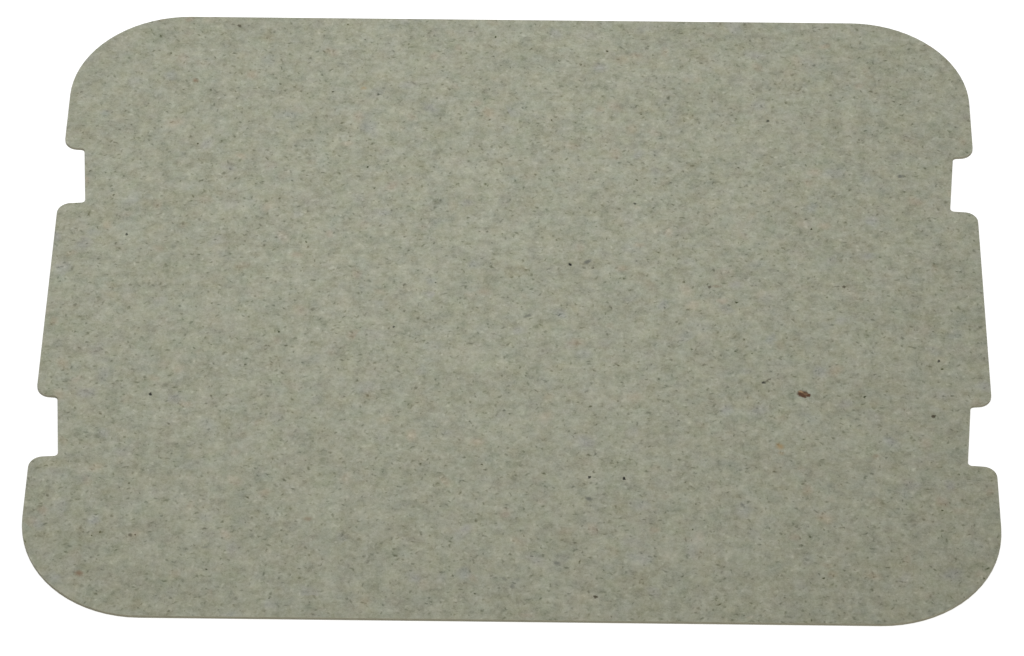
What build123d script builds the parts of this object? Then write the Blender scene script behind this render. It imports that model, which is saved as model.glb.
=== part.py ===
from build123d import *
import math
import os

# Waveguide cover of a microwave oven: one flat sheet, die-cut from mica board.
# It lies on its back face, and the origin is the middle of that face.
# X runs from one notched side to the other, Y from the near plain edge to the far one.
# Z points out of the front face.
# Four notches, two in each side, take the hooks that hold the cover to the wall of the oven's cavity.

# The sheet, in millimetres
SHEET_LENGTH = 125.0  # X, between the notched sides
SHEET_WIDTH = 109.0  # Y, between the plain edges
SHEET_THICKNESS = 0.42
CORNER_RADIUS = 16.0

# The notches, in millimetres and degrees
NOTCH_PITCH = 45.7  # Y, between the middles of the two notches in a side
NOTCH_LENGTH = 10.3  # Y, along the floor
NOTCH_DEPTH = 2.8  # X, from the side to the shallow +Y end of the floor
NOTCH_RAMP = 0.9  # X, how much deeper the floor's -Y end is, so that a hook wedges as the cover slides
NOTCH_FLARE = 4.5  # lean of each flank, which widens the mouth
LIP_RADIUS = 1.85  # where a flank meets the side
RELIEF_RADIUS = 0.5  # where a flank meets the floor


def notch_corners(middle):
    """Corners of a notch in the +X side, from its -Y lip to its +Y lip, each with its radius."""
    side = SHEET_LENGTH / 2
    near_end = middle - NOTCH_LENGTH / 2
    far_end = middle + NOTCH_LENGTH / 2
    far_depth = NOTCH_DEPTH
    near_depth = NOTCH_DEPTH + NOTCH_RAMP
    lean = math.tan(math.radians(NOTCH_FLARE))
    # The shallow flank has to hold both of its rounds.
    lip_radius = min(LIP_RADIUS, NOTCH_DEPTH - RELIEF_RADIUS)
    return [
        ((side, near_end - near_depth * lean), lip_radius),
        ((side - near_depth, near_end), RELIEF_RADIUS),
        ((side - far_depth, far_end), RELIEF_RADIUS),
        ((side, far_end + far_depth * lean), lip_radius),
    ]


def right_side():
    """Corners of the +X side, from the near corner of the sheet to the far one."""
    side = SHEET_LENGTH / 2
    edge = SHEET_WIDTH / 2
    return [
        ((side, -edge), CORNER_RADIUS),
        *notch_corners(-NOTCH_PITCH / 2),
        *notch_corners(NOTCH_PITCH / 2),
        ((side, edge), CORNER_RADIUS),
    ]


def cut_line():
    """The die's closed cut: the +X side, then its mirror image, with every corner rounded."""
    right = right_side()
    left = [((-x, y), radius) for (x, y), radius in reversed(right)]
    points, radii = zip(*right, *left)
    return FilletPolyline(*points, radius=radii, close=True)


mica_sheet = extrude(make_face(cut_line()), SHEET_THICKNESS)
mica_sheet.label = "mica_sheet"

os.makedirs("parts", exist_ok=True)
export_step(mica_sheet, "parts/mica_sheet.step")
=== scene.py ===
import bmesh
import bpy
import math
from mathutils import Euler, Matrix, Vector, noise


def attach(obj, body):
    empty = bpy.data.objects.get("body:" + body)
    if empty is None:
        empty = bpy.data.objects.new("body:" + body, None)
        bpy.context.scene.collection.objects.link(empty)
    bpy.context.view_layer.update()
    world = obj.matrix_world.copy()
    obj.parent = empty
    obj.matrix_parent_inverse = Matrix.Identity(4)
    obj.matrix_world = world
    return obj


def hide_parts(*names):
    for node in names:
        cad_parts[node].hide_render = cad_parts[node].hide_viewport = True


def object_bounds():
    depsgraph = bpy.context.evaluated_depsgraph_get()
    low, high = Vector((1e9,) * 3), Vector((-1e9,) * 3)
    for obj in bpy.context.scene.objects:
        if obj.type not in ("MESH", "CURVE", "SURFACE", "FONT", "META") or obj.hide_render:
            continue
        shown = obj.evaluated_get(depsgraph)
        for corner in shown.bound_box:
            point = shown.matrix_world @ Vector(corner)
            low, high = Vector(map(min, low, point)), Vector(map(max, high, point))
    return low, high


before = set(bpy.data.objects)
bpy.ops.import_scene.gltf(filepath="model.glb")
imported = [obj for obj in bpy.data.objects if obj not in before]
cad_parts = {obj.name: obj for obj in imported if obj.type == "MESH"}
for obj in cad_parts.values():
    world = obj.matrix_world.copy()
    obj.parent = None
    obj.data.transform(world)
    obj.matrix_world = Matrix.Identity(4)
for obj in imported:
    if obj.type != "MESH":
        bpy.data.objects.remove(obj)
cadLow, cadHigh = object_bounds()
print("frame loaded:", sorted(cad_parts))

mm = 0.001  # sizes below are in millimetres unless they say otherwise
sheetTop = cadHigh.z / mm


class Wire:  # a node's output that takes part in Python arithmetic
    def __init__(self, tree, socket=None):
        self.tree = tree
        self.socket = socket

    # Any node: its settings are set first, then its sockets get their values or links.
    def node(self, kind, settings, sockets, out=0):
        made = self.tree.nodes.new(kind)
        for name, value in settings.items():
            setattr(made, name, value)
        for name, value in sockets.items():
            if isinstance(value, Wire):
                self.tree.links.new(value.socket, made.inputs[name])
            else:
                made.inputs[name].default_value = value
        return Wire(self.tree, made.outputs[out]) if made.outputs else None

    def other(self, out):  # another output of the same node
        return Wire(self.tree, self.socket.node.outputs[out])

    def math(self, operation, *values):
        return self.node("ShaderNodeMath", {"operation": operation}, dict(enumerate(values)))

    def __add__(self, other):
        return self.math("ADD", self, other)

    def __sub__(self, other):
        return self.math("SUBTRACT", self, other)

    def __rsub__(self, other):
        return self.math("SUBTRACT", other, self)

    def __mul__(self, other):
        return self.math("MULTIPLY", self, other)

    __radd__ = __add__
    __rmul__ = __mul__


def newMaterial(name):
    material = bpy.data.materials.new(name)
    material.use_nodes = True
    material.node_tree.nodes.clear()
    return material, Wire(material.node_tree)


def toSurface(start, shader):
    start.node("ShaderNodeOutputMaterial", {}, {"Surface": shader})


def rgba(colour):
    return (*colour, 1.0)


# Short words for the nodes that the materials use most
def vectorMath(operation, first, second):
    start = first if isinstance(first, Wire) else second
    return start.node("ShaderNodeVectorMath", {"operation": operation}, {0: first, 1: second})


def scaled(vector, factor):
    start = vector if isinstance(vector, Wire) else factor
    return start.node("ShaderNodeVectorMath", {"operation": "SCALE"}, {0: vector, "Scale": factor})


def fade(value, start, end):  # 0 at start, 1 at end, smooth between
    sockets = {"Value": value, "From Min": start, "From Max": end}
    return value.node("ShaderNodeMapRange", {"interpolation_type": "SMOOTHSTEP"}, sockets)


def between(value, start, end, low, high):
    sockets = {"Value": value, "From Min": start, "From Max": end, "To Min": low, "To Max": high}
    return value.node("ShaderNodeMapRange", {}, sockets)


def mixed(under, over, mask):
    sockets = {0: mask, 6: under, 7: over}
    return mask.node("ShaderNodeMix", {"data_type": "RGBA"}, sockets, out=2)


def cloud(place, look):  # flat noise round 0
    moved = vectorMath("ADD", place, (*look["shift"], 0.0))
    sockets = {"Vector": moved, "Scale": look["perMm"], "Detail": look["detail"],
               "Roughness": look["roughness"]}
    return (place.node("ShaderNodeTexNoise", {"noise_dimensions": "2D"}, sockets) - 0.5) * look["strength"]


def wander(place, look):  # the place, pushed about in the sheet's plane by up to half the reach
    sockets = {"Vector": place, "Scale": look["perMm"], "Detail": 1.0}
    push = place.node("ShaderNodeTexNoise", {"noise_dimensions": "2D"}, sockets, out="Color")
    offset = vectorMath("SUBTRACT", push, (0.5, 0.5, 0.5))
    reach = (look["reach"], look["reach"], 0.0)
    return vectorMath("ADD", place, vectorMath("MULTIPLY", offset, reach))


def distance(vector):
    return vector.node("ShaderNodeVectorMath", {"operation": "LENGTH"}, {0: vector}, out="Value")


# An oval flake: where its cover begins and where it is full, as shares of its half length
smallRim, largeRim = 0.7, 1.2
fullCore = 0.1


# Scattered flakes: each cell of a Voronoi pattern holds one oval, turned at random. A share of them shows.
def flakes(place, look):
    moved = vectorMath("ADD", place, (*look["shift"], 0.0))
    sockets = {"Vector": moved, "Scale": look["perMm"]}
    middle = moved.node("ShaderNodeTexVoronoi", {"voronoi_dimensions": "2D"}, sockets, out="Position")
    luck = middle.node("ShaderNodeTexWhiteNoise", {"noise_dimensions": "2D"}, {"Vector": middle}, out="Color")
    show = luck.node("ShaderNodeSeparateXYZ", {}, {"Vector": luck})
    turn, size = show.other("Y"), show.other("Z")
    away = vectorMath("SUBTRACT", moved, middle)
    sockets = {"Vector": away, "Angle": turn * math.tau}
    turned = away.node("ShaderNodeVectorRotate", {"rotation_type": "Z_AXIS"}, sockets)
    length, width = look["size"]
    oval = vectorMath("MULTIPLY", turned, (2 / length, 2 / width, 0.0))
    rim = between(size, 0.0, 1.0, largeRim, smallRim)
    strength = between(show, look["share"], 0.0, 0.0, look["strength"])
    return fade(distance(oval), rim, fullCore) * strength


# The plain front and back: pressed mica flakes in a binder. Sizes and shifts are in millimetres.
faceLook = {
    "board": (0.336, 0.340, 0.262),
    "specular": 0.15,
    "backShift": (211.0, 137.0),  # per millimetre of height, so that the two faces differ
    "run": (1.02, 1.06, 1.0),  # the board was rolled along X, which draws its grain out that way
    "bend": {"perMm": 1.6, "reach": 0.45},  # makes the flecks' outlines uneven
    "markBend": {"perMm": 3.0, "reach": 0.35},
    "toneAxis": (0.328, 0.3275, 0.282),  # what a tone of 1 adds to the board's colour
    "darkest": -0.97,
    "mottle": {
        "wide": {"perMm": 0.14, "detail": 1.0, "roughness": 0.5, "strength": 0.21, "shift": (4, 9)},
        "fine": {"perMm": 0.50, "detail": 5.0, "roughness": 0.93, "strength": 1.40, "shift": (0, 0)},
    },
    "flecks": {
        "pin": {"perMm": 0.11, "size": (0.48, 0.40), "share": 0.5, "strength": -1.2, "shift": (17, 44)},
        "blot": {"perMm": 0.24, "size": (1.70, 1.15), "share": 0.7, "strength": -0.20, "shift": (27, 14)},
        "chip": {"perMm": 0.30, "size": (0.70, 0.48), "share": 0.5, "strength": -0.54, "shift": (7, 4)},
        "dash": {"perMm": 0.60, "size": (1.00, 0.46), "share": 0.5, "strength": -0.46, "shift": (3, 8)},
        "short": {"perMm": 1.00, "size": (0.66, 0.42), "share": 0.5, "strength": -0.45, "shift": (9, 1)},
        "grain": {"perMm": 2.00, "size": (0.36, 0.27), "share": 0.5, "strength": -0.18, "shift": (2, 6)},
        "pale": {"perMm": 0.90, "size": (0.80, 0.52), "share": 0.5, "strength": 0.25, "shift": (6, 3)},
    },
    "pinkAxis": (0.0110, -0.0030, -0.0040),
    "pink": {"perMm": 0.24, "detail": 2.0, "roughness": 0.8, "strength": 3.0, "shift": (40, 9)},
    "pinkFlakes": {"perMm": 0.24, "size": (3.4, 2.3), "share": 0.3, "strength": 2.3, "shift": (2, 4)},
    "blueAxis": (-0.0011, -0.0011, 0.0140),
    "blue": {"perMm": 0.28, "detail": 2.0, "roughness": 0.8, "strength": 3.2, "shift": (8, 71)},
    "blueFlakes": {"perMm": 0.20, "size": (4.2, 3.0), "share": 0.35, "strength": 2.0, "shift": (6, 8)},
    "roughness": 0.60,
    "satin": {"perMm": 0.55, "size": (2.6, 1.6), "share": 0.7, "strength": -0.16, "shift": (31, 5)},
    "relief": {"perMm": 0.9, "detail": 3.0, "roughness": 0.7, "strength": 1.0, "shift": (5, 23)},
    "reliefDepth": 0.012,
}

# Natural marks in this sheet's front face. A spot fades from its solid middle, a share of its half width.
# Each spot is X, Y, length and width in millimetres, turn in degrees and how much it covers.
markDepth = 0.1  # small, so that no mark reaches the back face
faceMarks = {
    "ochre": {
        "colour": (0.360, 0.240, 0.100),
        "solid": 0.0,
        "spots": [
            (34.6, -25.1, 2.0, 1.5, -60, 0.70),
            (34.8, -26.3, 1.4, 1.1, 0, 0.30),
            (-21.7, 40.4, 1.4, 1.0, 0, 0.55),
        ],
    },
    "rust": {
        "colour": (0.195, 0.108, 0.056),
        "solid": 0.0,
        "spots": [
            (-54.5, -47.7, 1.9, 1.4, -18, 0.75),
            (-45.2, 41.6, 1.7, 1.2, -40, 0.65),
            (-26.0, -38.3, 1.7, 1.3, 0, 0.45),
            (47.0, -26.6, 1.6, 1.2, 5, 0.40),
            (26.8, 3.2, 2.6, 0.8, 0, 0.30),
        ],
    },
    "smoke": {
        "colour": (0.118, 0.122, 0.104),
        "solid": 0.2,
        "spots": [
            (9.6, 7.5, 1.9, 1.0, 35, 0.85),
            (-0.8, -47.8, 1.5, 0.8, -30, 0.45),
            (0.3, -49.0, 1.1, 0.9, 30, 0.50),
            (1.0, -47.9, 1.2, 0.9, 40, 0.40),
            (-38.9, -43.2, 1.2, 0.6, 10, 0.45),
            (9.9, -34.4, 1.4, 1.1, -22, 0.80),
            (52.3, 24.2, 1.4, 0.9, 7, 0.80),
            (1.7, -2.5, 1.8, 0.8, 24, 0.65),
            (5.9, -45.2, 1.4, 1.0, -27, 0.65),
            (29.6, -35.2, 1.6, 0.7, -62, 0.65),
        ],
    },
    "umber": {
        "colour": (0.044, 0.033, 0.014),
        "solid": 0.4,
        "spots": [
            (10.8, -50.6, 0.85, 0.65, -14, 0.90),
            (54.8, -19.6, 1.00, 0.62, 41, 0.90),
            (43.9, 3.4, 0.85, 0.60, 5, 0.80),
            (42.8, 3.4, 1.50, 0.30, 5, 0.45),
            (-39.7, 52.7, 1.00, 0.66, -50, 0.75),
            (25.9, 3.1, 0.75, 0.56, 70, 0.70),
            (33.4, -13.5, 1.50, 0.45, 42, 0.55),
            (-48.5, -41.3, 0.95, 0.80, -50, 0.60),
            (10.3, 6.4, 0.55, 0.45, 0, 0.65),
        ],
    },
    "black": {
        "colour": (0.002, 0.002, 0.001),
        "solid": 0.45,
        "spots": [
            (-47.5, -17.2, 0.74, 0.52, 80, 0.95),
            (14.4, -30.9, 0.66, 0.55, 90, 1.00),
            (10.0, -30.7, 0.56, 0.47, 90, 0.90),
            (7.2, 7.0, 0.84, 0.46, -50, 1.00),
            (34.4, 34.7, 0.80, 0.66, 70, 0.70),
            (32.75, -14.0, 0.70, 0.62, 30, 0.85),
            (55.9, -9.9, 0.58, 0.47, 80, 0.80),
            (-52.7, 11.7, 0.55, 0.40, -86, 0.80),
            (-16.1, -4.7, 0.54, 0.42, 70, 0.75),
            (16.0, 18.5, 0.66, 0.52, -75, 0.80),
        ],
    },
    "grit": {  # one larger grain, pressed in
        "colour": (0.084, 0.040, 0.020),
        "solid": 0.5,
        "spots": [
            (37.8, -15.9, 1.90, 1.45, -8, 1.00),
            (38.5, -16.15, 0.95, 0.75, -20, 1.00),
            (38.0, -16.4, 0.80, 0.60, 0, 1.00),
        ],
    },
    # Pale gold on the grain: the first spot is a painted highlight (glint) at its upper left; the second,
    # fainter one in its middle is part the grain's own lighter colour, part painted highlight.
    "gritGlintAndVein": {
        "colour": (0.375, 0.260, 0.150),
        "solid": 0.3,
        "spots": [
            (37.6, -15.55, 0.95, 0.36, -14, 0.85),
            (38.1, -15.95, 1.10, 0.50, -12, 0.28),
        ],
    },
}


def markMask(place, mark):
    masks = []
    for x, y, length, width, turn, cover in mark["spots"]:
        sockets = {"Vector": place, "Location": (x, y, sheetTop), "Rotation": (0.0, 0.0, math.radians(turn)),
                   "Scale": (length / 2, width / 2, markDepth)}
        local = place.node("ShaderNodeMapping", {"vector_type": "TEXTURE"}, sockets)
        masks.append(fade(distance(local), 1.0, mark["solid"]) * cover)
    total = masks[0]
    for mask in masks[1:]:
        total = total.math("MAXIMUM", total, mask)
    return total


def faceMaterial(look):
    material, start = newMaterial("micaFace")
    spot = start.node("ShaderNodeTexCoord", {}, {}, out="Object")
    place = scaled(spot, 1 / mm)
    height = place.node("ShaderNodeSeparateXYZ", {}, {"Vector": place}, out="Z")
    shifted = vectorMath("ADD", place, scaled((*look["backShift"], 0.0), height))
    pattern = vectorMath("MULTIPLY", shifted, look["run"])
    bent = wander(pattern, look["bend"])

    tone = sum((flakes(bent, layer) for layer in look["flecks"].values()), 0.0)
    tone = sum((cloud(bent, layer) for layer in look["mottle"].values()), tone)
    tone = tone.math("MAXIMUM", tone, look["darkest"])
    pink = scaled(look["pinkAxis"], cloud(bent, look["pink"]) + flakes(bent, look["pinkFlakes"]))
    blue = scaled(look["blueAxis"], cloud(bent, look["blue"]) + flakes(bent, look["blueFlakes"]))
    tint = vectorMath("ADD", pink, blue)
    grey = vectorMath("ADD", scaled(look["toneAxis"], tone), look["board"])
    colour = vectorMath("ADD", grey, tint)

    ragged = wander(place, look["markBend"])
    for mark in faceMarks.values():
        colour = mixed(colour, rgba(mark["colour"]), markMask(ragged, mark))

    # Whole flakes lie smoother than the binder round them
    satin = flakes(pattern, look["satin"])
    relief = cloud(pattern, look["relief"]) - satin
    normal = start.node("ShaderNodeBump", {}, {"Height": relief, "Distance": look["reliefDepth"] * mm})
    shader = start.node("ShaderNodeBsdfPrincipled", {}, {
        "Base Color": colour, "Roughness": satin + look["roughness"], "Normal": normal,
        "Specular IOR Level": look["specular"]})
    toSurface(start, shader)
    return material


# The die-cut rim: the board's layers seen end on
edgeLook = {
    "light": (0.405, 0.394, 0.304),
    "dark": (0.290, 0.280, 0.210),
    "bare": (0.25, 0.65),  # from the binder to a clean flake end, as levels of the layers' noise
    "roughness": 0.72,
    "flakeGloss": 0.2,  # how much less rough a clean flake end is
    "layersPerMm": 14.0,
    "alongPerMm": 0.9,
    "reliefDepth": 0.02,
}


def edgeMaterial(look):
    material, start = newMaterial("micaCutEdge")
    spot = start.node("ShaderNodeTexCoord", {}, {}, out="Object")
    place = scaled(spot, 1 / mm)
    along = look["alongPerMm"]
    layered = vectorMath("MULTIPLY", place, (along, along, look["layersPerMm"]))
    strata = start.node("ShaderNodeTexNoise", {}, {"Vector": layered, "Scale": 1.0, "Detail": 3.0})
    bared = fade(strata, *look["bare"])
    colour = mixed(rgba(look["dark"]), rgba(look["light"]), bared)
    normal = start.node("ShaderNodeBump", {}, {"Height": strata, "Distance": look["reliefDepth"] * mm})
    shader = start.node("ShaderNodeBsdfPrincipled", {}, {
        "Base Color": colour, "Roughness": look["roughness"] - bared * look["flakeGloss"], "Normal": normal,
        "Specular IOR Level": faceLook["specular"]})
    toSurface(start, shader)
    return material


# The sheet: the solid's own shape, with the small round and the torn layers that a die leaves at its rim
sheetForm = {
    "node": "mica_sheet",
    "weld": 0.001,  # corners of the solid's mesh closer than this are one
    "flatAngle": 0.5,  # faces of the solid's mesh that lean less than this, in degrees, are one
    "rimStep": 0.7,  # longest straight bit of the rim
    "shoulder": 0.05,  # round at the front and back rims
    "layers": 4,  # cuts across the rim's height
    "torn": 0.025,  # how far a layer stands back
    "tornPerMm": (0.9, 0.9, 11.0),  # slow along the rim, quick from layer to layer
    "tornLean": 0.4,  # corners of the rim whose normal rises less than this are torn
    "tile": 6.0,  # grid that divides the two faces
}


def cutLong(bm, edges, longest):
    cuts = {}
    for edge in edges:
        cuts.setdefault(math.ceil(edge.calc_length() / longest) - 1, []).append(edge)
    for count, group in sorted(cuts.items()):
        if count > 0:
            bmesh.ops.subdivide_edges(bm, edges=group, cuts=count, use_grid_fill=True)


def isFlat(face):  # part of the front or the back
    return abs(face.normal.z) > 0.999


def rimEdges(bm):
    return [edge for edge in bm.edges if any(isFlat(face) for face in edge.link_faces)]


def buildSheet(form):
    bm = bmesh.new()
    bm.from_mesh(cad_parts[form["node"]].data)
    bmesh.ops.remove_doubles(bm, verts=bm.verts, dist=form["weld"] * mm)
    bmesh.ops.dissolve_limit(bm, angle_limit=math.radians(form["flatAngle"]), verts=bm.verts, edges=bm.edges)
    bm.normal_update()
    print("sheet faces from the solid:", len(bm.faces))

    cutLong(bm, rimEdges(bm), form["rimStep"] * mm)
    bmesh.ops.bevel(bm, geom=rimEdges(bm), offset=form["shoulder"] * mm, affect="EDGES", segments=2,
                    profile=0.5, material=-1)
    bm.normal_update()

    uprights = [edge for edge in bm.edges
                if abs(edge.verts[0].co.z - edge.verts[1].co.z) > sheetTop / 2 * mm]
    bmesh.ops.subdivide_edges(bm, edges=uprights, cuts=form["layers"], use_grid_fill=True)
    bm.normal_update()

    # Each layer of the cut is a little torn, always inwards
    for vert in bm.verts:
        if abs(vert.normal.z) < form["tornLean"]:
            torn = noise.noise(vert.co / mm * Vector(form["tornPerMm"]))  # -1 to 1
            outward = Vector((vert.normal.x, vert.normal.y, 0.0)).normalized()
            vert.co -= outward * (1 + torn) / 2 * form["torn"] * mm

    for axis, low, high in ((0, cadLow.x, cadHigh.x), (1, cadLow.y, cadHigh.y)):
        count = round((high - low) / (form["tile"] * mm))
        normal = Vector((axis == 0, axis == 1, 0.0))
        for step in range(1, count):
            flats = [face for face in bm.faces if isFlat(face)]
            edges = dict.fromkeys(edge for face in flats for edge in face.edges)
            verts = dict.fromkeys(vert for face in flats for vert in face.verts)
            at = normal * (low + (high - low) * step / count)
            bmesh.ops.bisect_plane(bm, geom=[*flats, *edges, *verts], plane_co=at, plane_no=normal)
    bm.normal_update()

    for face in bm.faces:
        face.smooth = not isFlat(face)
        face.material_index = 0 if isFlat(face) else 1
    mesh = bpy.data.meshes.new("micaCover")
    bm.to_mesh(mesh)
    bm.free()
    piece = bpy.data.objects.new("micaCover", mesh)
    bpy.context.scene.collection.objects.link(piece)
    mesh.materials.append(faceMaterial(faceLook))
    mesh.materials.append(edgeMaterial(edgeLook))
    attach(piece, "root")
    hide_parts(form["node"])
    print("sheet built:", len(mesh.polygons), "faces")


buildSheet(sheetForm)

# White floor: its own colour under the light, and a share of white that only the viewer sees
floorLook = {
    "size": 4000.0,
    "below": 0.02,
    "paint": 0.5,
    "whiteNear": 0.80,  # up to the near distance from the middle
    "whiteFar": 0.94,  # from the far distance on
    "near": 80.0,
    "far": 300.0,
}


def seenDirectly(start):
    direct = start.node("ShaderNodeLightPath", {}, {}, out="Is Camera Ray")
    mirrored = direct.math("MAXIMUM", direct.other("Is Glossy Ray"), direct.other("Is Transmission Ray"))
    return direct.math("MAXIMUM", direct, mirrored)


def buildFloor(look):
    bm = bmesh.new()
    bmesh.ops.create_grid(bm, x_segments=1, y_segments=1, size=look["size"] / 2 * mm)
    bmesh.ops.translate(bm, verts=bm.verts, vec=(0.0, 0.0, -look["below"] * mm))
    mesh = bpy.data.meshes.new("floor")
    bm.to_mesh(mesh)
    bm.free()
    floor = bpy.data.objects.new("floor", mesh)
    bpy.context.scene.collection.objects.link(floor)
    material, start = newMaterial("floorWhite")
    spot = start.node("ShaderNodeTexCoord", {}, {}, out="Object")
    white = between(distance(spot), look["near"] * mm, look["far"] * mm, look["whiteNear"], look["whiteFar"])
    glow = start.node("ShaderNodeEmission", {}, {"Strength": white * seenDirectly(start)})
    paint = start.node("ShaderNodeBsdfDiffuse", {}, {"Color": rgba((look["paint"],) * 3)})
    toSurface(start, start.node("ShaderNodeAddShader", {}, {0: glow, 1: paint}))
    mesh.materials.append(material)
    print("floor built")


buildFloor(floorLook)

# Light: a soft box over the sheet, leaning to the far left, a low one in front for the rim, and an even room
lampLooks = {
    "softBox": {"place": (-8.0, 22.0, 206.0), "aim": (-100.0, 158.0, 0.0), "size": 150.0, "watts": 0.345,
                "colour": (0.975, 1.0, 1.035)},
    "frontFill": {"place": (150.0, -500.0, 190.0), "aim": (0.0, 0.0, 0.0), "size": 300.0, "watts": 0.72,
                  "colour": (1.03, 0.99, 0.90)},
}
roomColour = (0.304, 0.293, 0.270)


def buildLamp(name, look):
    lamp = bpy.data.lights.new(name, "AREA")
    lamp.shape = "SQUARE"
    lamp.size = look["size"] * mm
    lamp.energy = look["watts"]
    lamp.color = look["colour"]
    holder = bpy.data.objects.new(name, lamp)
    holder.location = Vector(look["place"]) * mm
    facing = Vector(look["aim"]) - Vector(look["place"])
    holder.rotation_euler = facing.to_track_quat("-Z", "Y").to_euler()
    holder.visible_camera = False
    bpy.context.scene.collection.objects.link(holder)


def buildRoom(room):
    world = bpy.data.worlds.new("room")
    world.use_nodes = True
    world.node_tree.nodes.clear()
    start = Wire(world.node_tree)
    colour = mixed(rgba(room), rgba((1.0, 1.0, 1.0)), seenDirectly(start))
    shader = start.node("ShaderNodeBackground", {}, {"Color": colour})
    start.node("ShaderNodeOutputWorld", {}, {"Surface": shader})
    bpy.context.scene.world = world


for lampName, lampLook in lampLooks.items():
    buildLamp(lampName, lampLook)
buildRoom(roomColour)
print("light built")

# Camera: the photograph's view, 1024 x 656
cameraLook = {
    "lens": 161.78,
    "sensor": 36.0,
    "clip": 10.0,
    "tilt": 42.67,  # from straight down, degrees
    "turn": 0.83,  # about the upright, degrees
    "aim": (-0.40, -4.36, 0.0),
    "distance": 610.8,
}


def buildCamera(look):
    camera = bpy.data.cameras.new("camera")
    camera.lens = look["lens"]
    camera.sensor_width = look["sensor"]
    camera.clip_start = look["clip"] * mm
    turn = Euler((math.radians(look["tilt"]), 0.0, math.radians(look["turn"])))
    holder = bpy.data.objects.new("camera", camera)
    back = turn.to_matrix() @ Vector((0.0, 0.0, 1.0))
    holder.location = (Vector(look["aim"]) + back * look["distance"]) * mm
    holder.rotation_euler = turn
    bpy.context.scene.collection.objects.link(holder)
    bpy.context.scene.camera = holder
    print("camera set")


buildCamera(cameraLook)

bpy.context.scene.view_settings.view_transform = "Standard"

bpy.context.view_layer.update()
